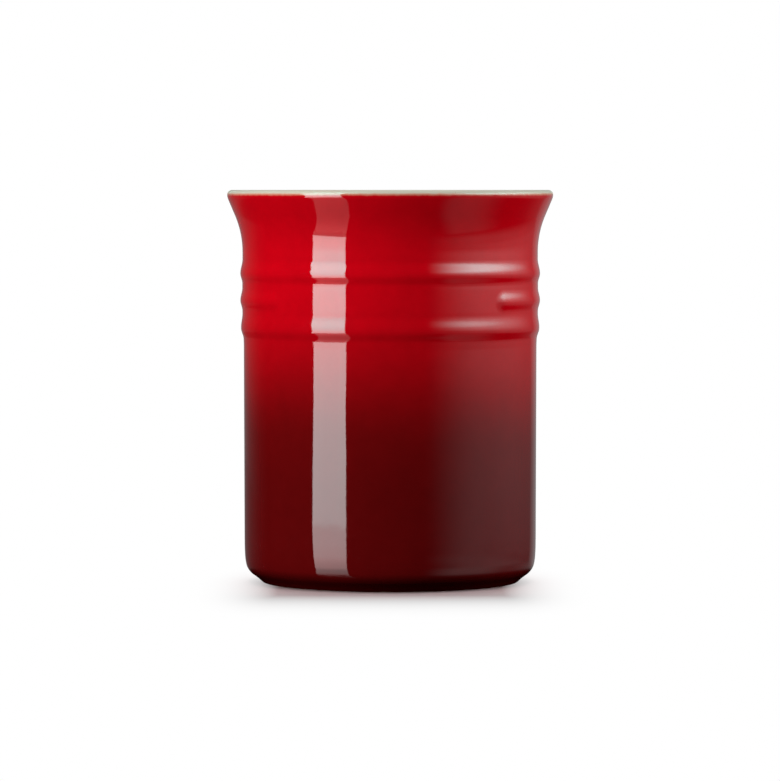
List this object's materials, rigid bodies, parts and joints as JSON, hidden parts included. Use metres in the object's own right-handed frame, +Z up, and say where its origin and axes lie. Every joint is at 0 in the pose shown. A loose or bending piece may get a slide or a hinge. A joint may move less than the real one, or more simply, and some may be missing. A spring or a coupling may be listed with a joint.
{
  "type": "utensil crock",
  "caption": "Round glazed stoneware crock with a flared mouth, raised ribs under the rim and a recessed foot, for holding kitchen utensils upright.",
  "frame": {"origin": "middle of the foot ring's resting face, on the crock's axis", "axes": "+Z up along the crock's axis towards the mouth, front panel facing -Y, +X to the right as seen from the front"},
  "size_m": [0.1246, 0.1246, 0.15],
  "materials": {
    "bare_stoneware": "matte",
    "red_glaze": "gloss",
    "cream_glaze": "gloss",
    "maroon_glaze": "gloss"
  },
  "bodies": {
    "root": {"stoneware_body": "bare_stoneware", "outer_glaze": "red_glaze", "inner_glaze": "cream_glaze", "base_glaze": "maroon_glaze"}
  },
  "joints": []
}
